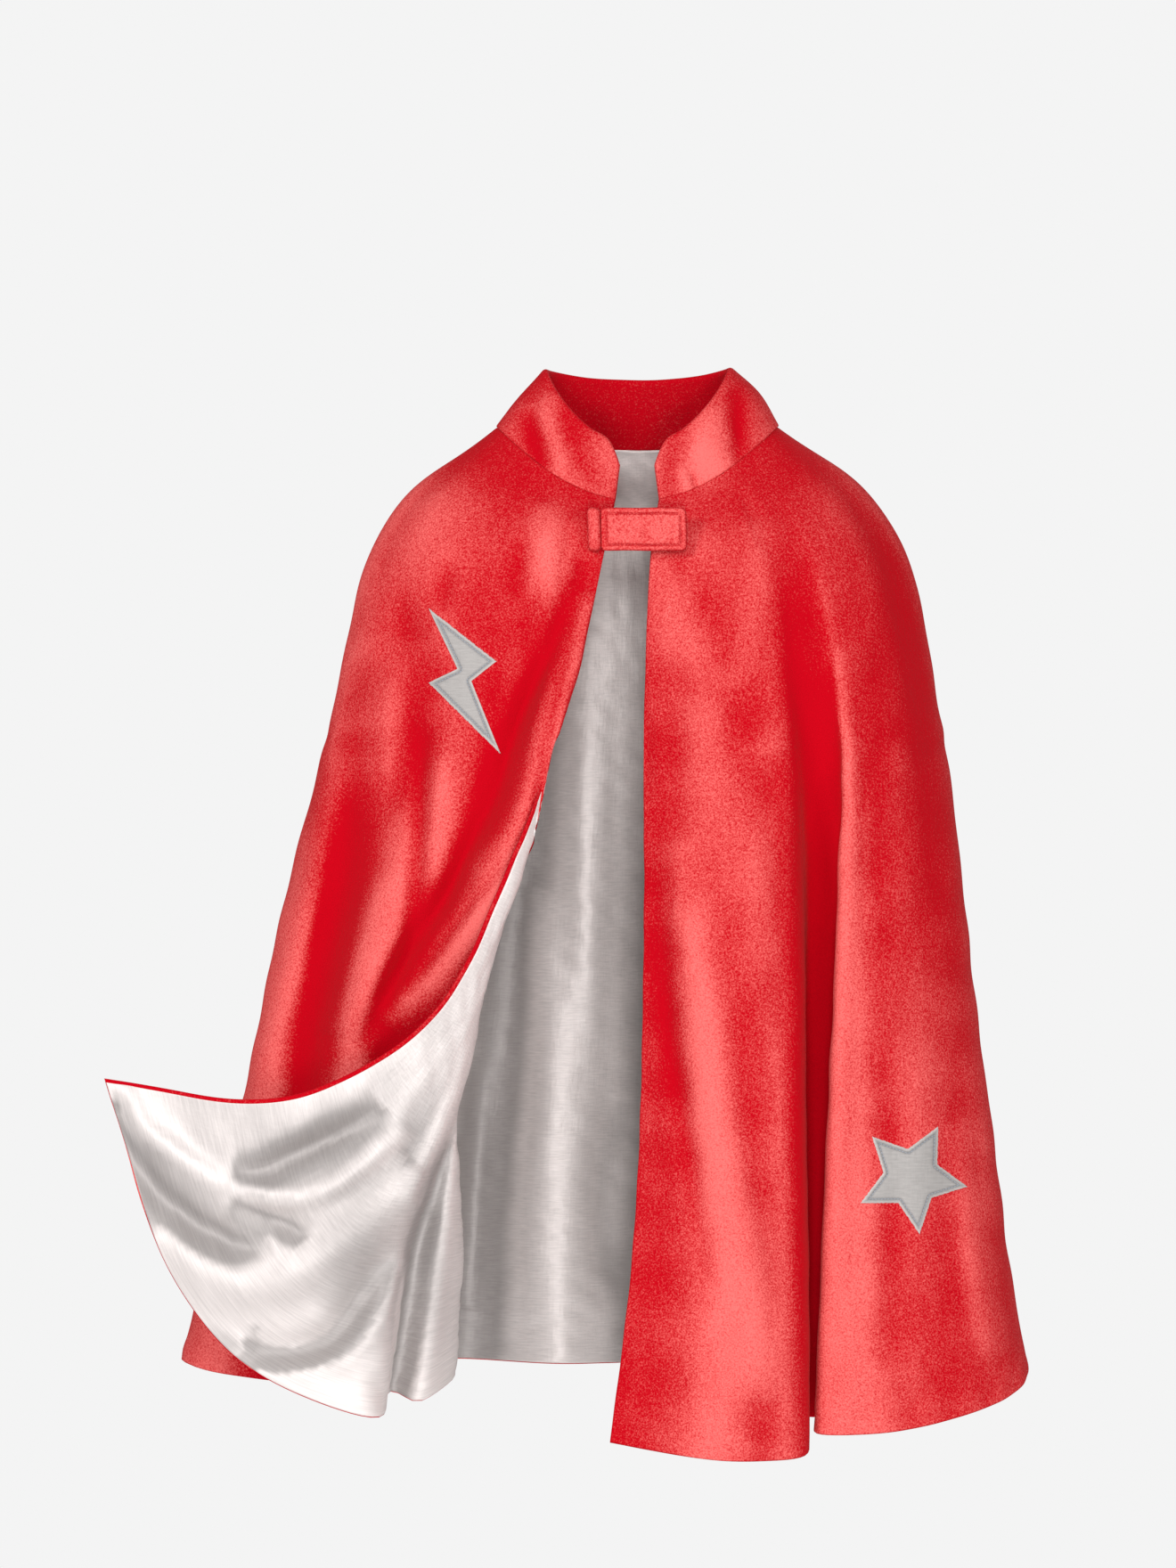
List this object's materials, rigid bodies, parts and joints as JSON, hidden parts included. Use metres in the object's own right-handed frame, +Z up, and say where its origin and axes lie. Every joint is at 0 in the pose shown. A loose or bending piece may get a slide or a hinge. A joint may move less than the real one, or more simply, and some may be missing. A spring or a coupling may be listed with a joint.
{
  "type": "superhero cape",
  "caption": "Child's plush cape with satin lining, stand collar, throat tab and two appliques, its right front thrown back.",
  "frame": {"origin": "middle of the neck opening, level with the nape seam, where the wearer's shoulders or a hanger carry the cape", "axes": "+Z up, the wearer faces -Y, the wearer's left is +X"},
  "size_m": [0.6753, 0.2599, 0.7991],
  "materials": {
    "velour": "short-pile plush velour",
    "satin_lining": "soft metallic satin",
    "interlining": "pressed nonwoven",
    "applique_satin": "soft metallic satin",
    "applique_thread": "spun thread",
    "red_thread": "spun thread",
    "fastener_tape": "hook and loop tape"
  },
  "bodies": {
    "cape_body": {"shell_back": "velour", "shell_right_yoke": "velour", "shell_left_yoke": "velour", "lining_back": "satin_lining", "lining_right_yoke": "satin_lining", "lining_left_yoke": "satin_lining", "collar_outer": "velour", "collar_inner": "velour", "collar_interlining": "interlining", "bolt_applique": "applique_satin", "bolt_stitching": "applique_thread", "tab_anchor": "velour", "loop_patch": "fastener_tape"},
    "tab": {"tab_face": "velour", "tab_backing": "velour", "tab_interlining": "interlining", "tab_topstitching": "red_thread", "tab_hook_patch": "fastener_tape"},
    "right_front": {"shell_right_skirt": "velour", "lining_right_skirt": "satin_lining"},
    "left_front": {"shell_left_skirt": "velour", "lining_left_skirt": "satin_lining", "star_applique": "applique_satin", "star_stitching": "applique_thread"}
  },
  "joints": [
    {"name": "tab_peel", "type": "hinge", "parent": "cape_body", "child": "tab", "pos_m": [-0.026, -0.0778, -0.061], "axis": [0, 0, -1], "range_deg": [0, 150]},
    {"name": "right_front_swing", "type": "hinge", "parent": "cape_body", "child": "right_front", "pos_m": [-0.2315, 0, -0.23], "axis": [-0.2294, 0, -0.9733], "range_deg": [0, 60]},
    {"name": "left_front_swing", "type": "hinge", "parent": "cape_body", "child": "left_front", "pos_m": [0.2272, 0, -0.23], "axis": [-0.135, 0, 0.9908], "range_deg": [0, 70]}
  ]
}
